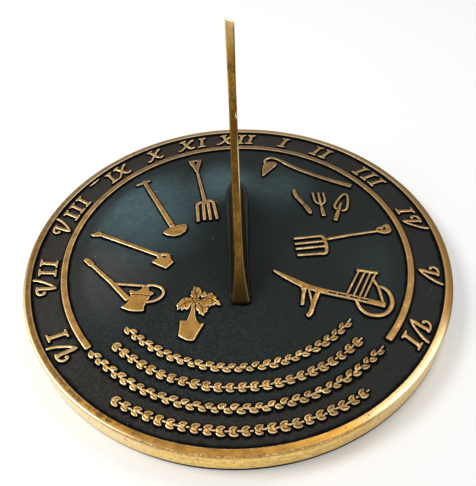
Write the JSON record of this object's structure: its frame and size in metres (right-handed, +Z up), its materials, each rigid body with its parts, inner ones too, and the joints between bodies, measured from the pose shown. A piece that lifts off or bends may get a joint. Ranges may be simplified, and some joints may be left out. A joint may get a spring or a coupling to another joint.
{
  "type": "horizontal sundial",
  "caption": "Round cast brass garden sundial: rimmed dial plate with raised Roman numerals, garden tools and leaf garlands, and a bolted upright gnomon.",
  "frame": {"origin": "centre of the plate's foot ring, on the surface that the dial rests on", "axes": "+Z up, +Y along the noon line from the dial's centre to XII, +X to the right, towards the afternoon hours"},
  "size_m": [0.254, 0.254, 0.1199],
  "materials": {
    "cast_brass": "cast brass, turned and brushed rim with fine casting pits",
    "polished_brass": "raised work linished bright, tarnished in its low places",
    "blade_brass": "cast brass, brown tarnish, brighter along the style's edges",
    "dark_patina": "blue-black chemical patina, clouded with grey-green",
    "zinc_steel": "zinc-plated steel"
  },
  "bodies": {
    "root": {"dial_plate": "cast_brass", "dial_ground": "dark_patina", "hour_ring": "polished_brass", "numeral_vi_morning": "polished_brass", "numeral_vii": "polished_brass", "numeral_viii": "polished_brass", "numeral_ix": "polished_brass", "numeral_x": "polished_brass", "numeral_xi": "polished_brass", "numeral_xii": "polished_brass", "numeral_i": "polished_brass", "numeral_ii": "polished_brass", "numeral_iii": "polished_brass", "numeral_iv": "polished_brass", "numeral_v": "polished_brass", "numeral_vi_evening": "polished_brass", "digging_fork": "polished_brass", "edging_spade": "polished_brass", "draw_hoe": "polished_brass", "watering_can": "polished_brass", "potted_plant": "polished_brass", "swan_neck_hoe": "polished_brass", "pruning_knife": "polished_brass", "hand_fork": "polished_brass", "hand_trowel": "polished_brass", "garden_fork": "polished_brass", "wheelbarrow": "polished_brass", "garland_outer": "polished_brass", "garland_third": "polished_brass", "garland_second": "polished_brass", "garland_inner": "polished_brass", "gnomon": "blade_brass", "gnomon_screw_south": "zinc_steel", "gnomon_screw_north": "zinc_steel", "gnomon_washer_south": "zinc_steel", "gnomon_washer_north": "zinc_steel"}
  },
  "joints": []
}
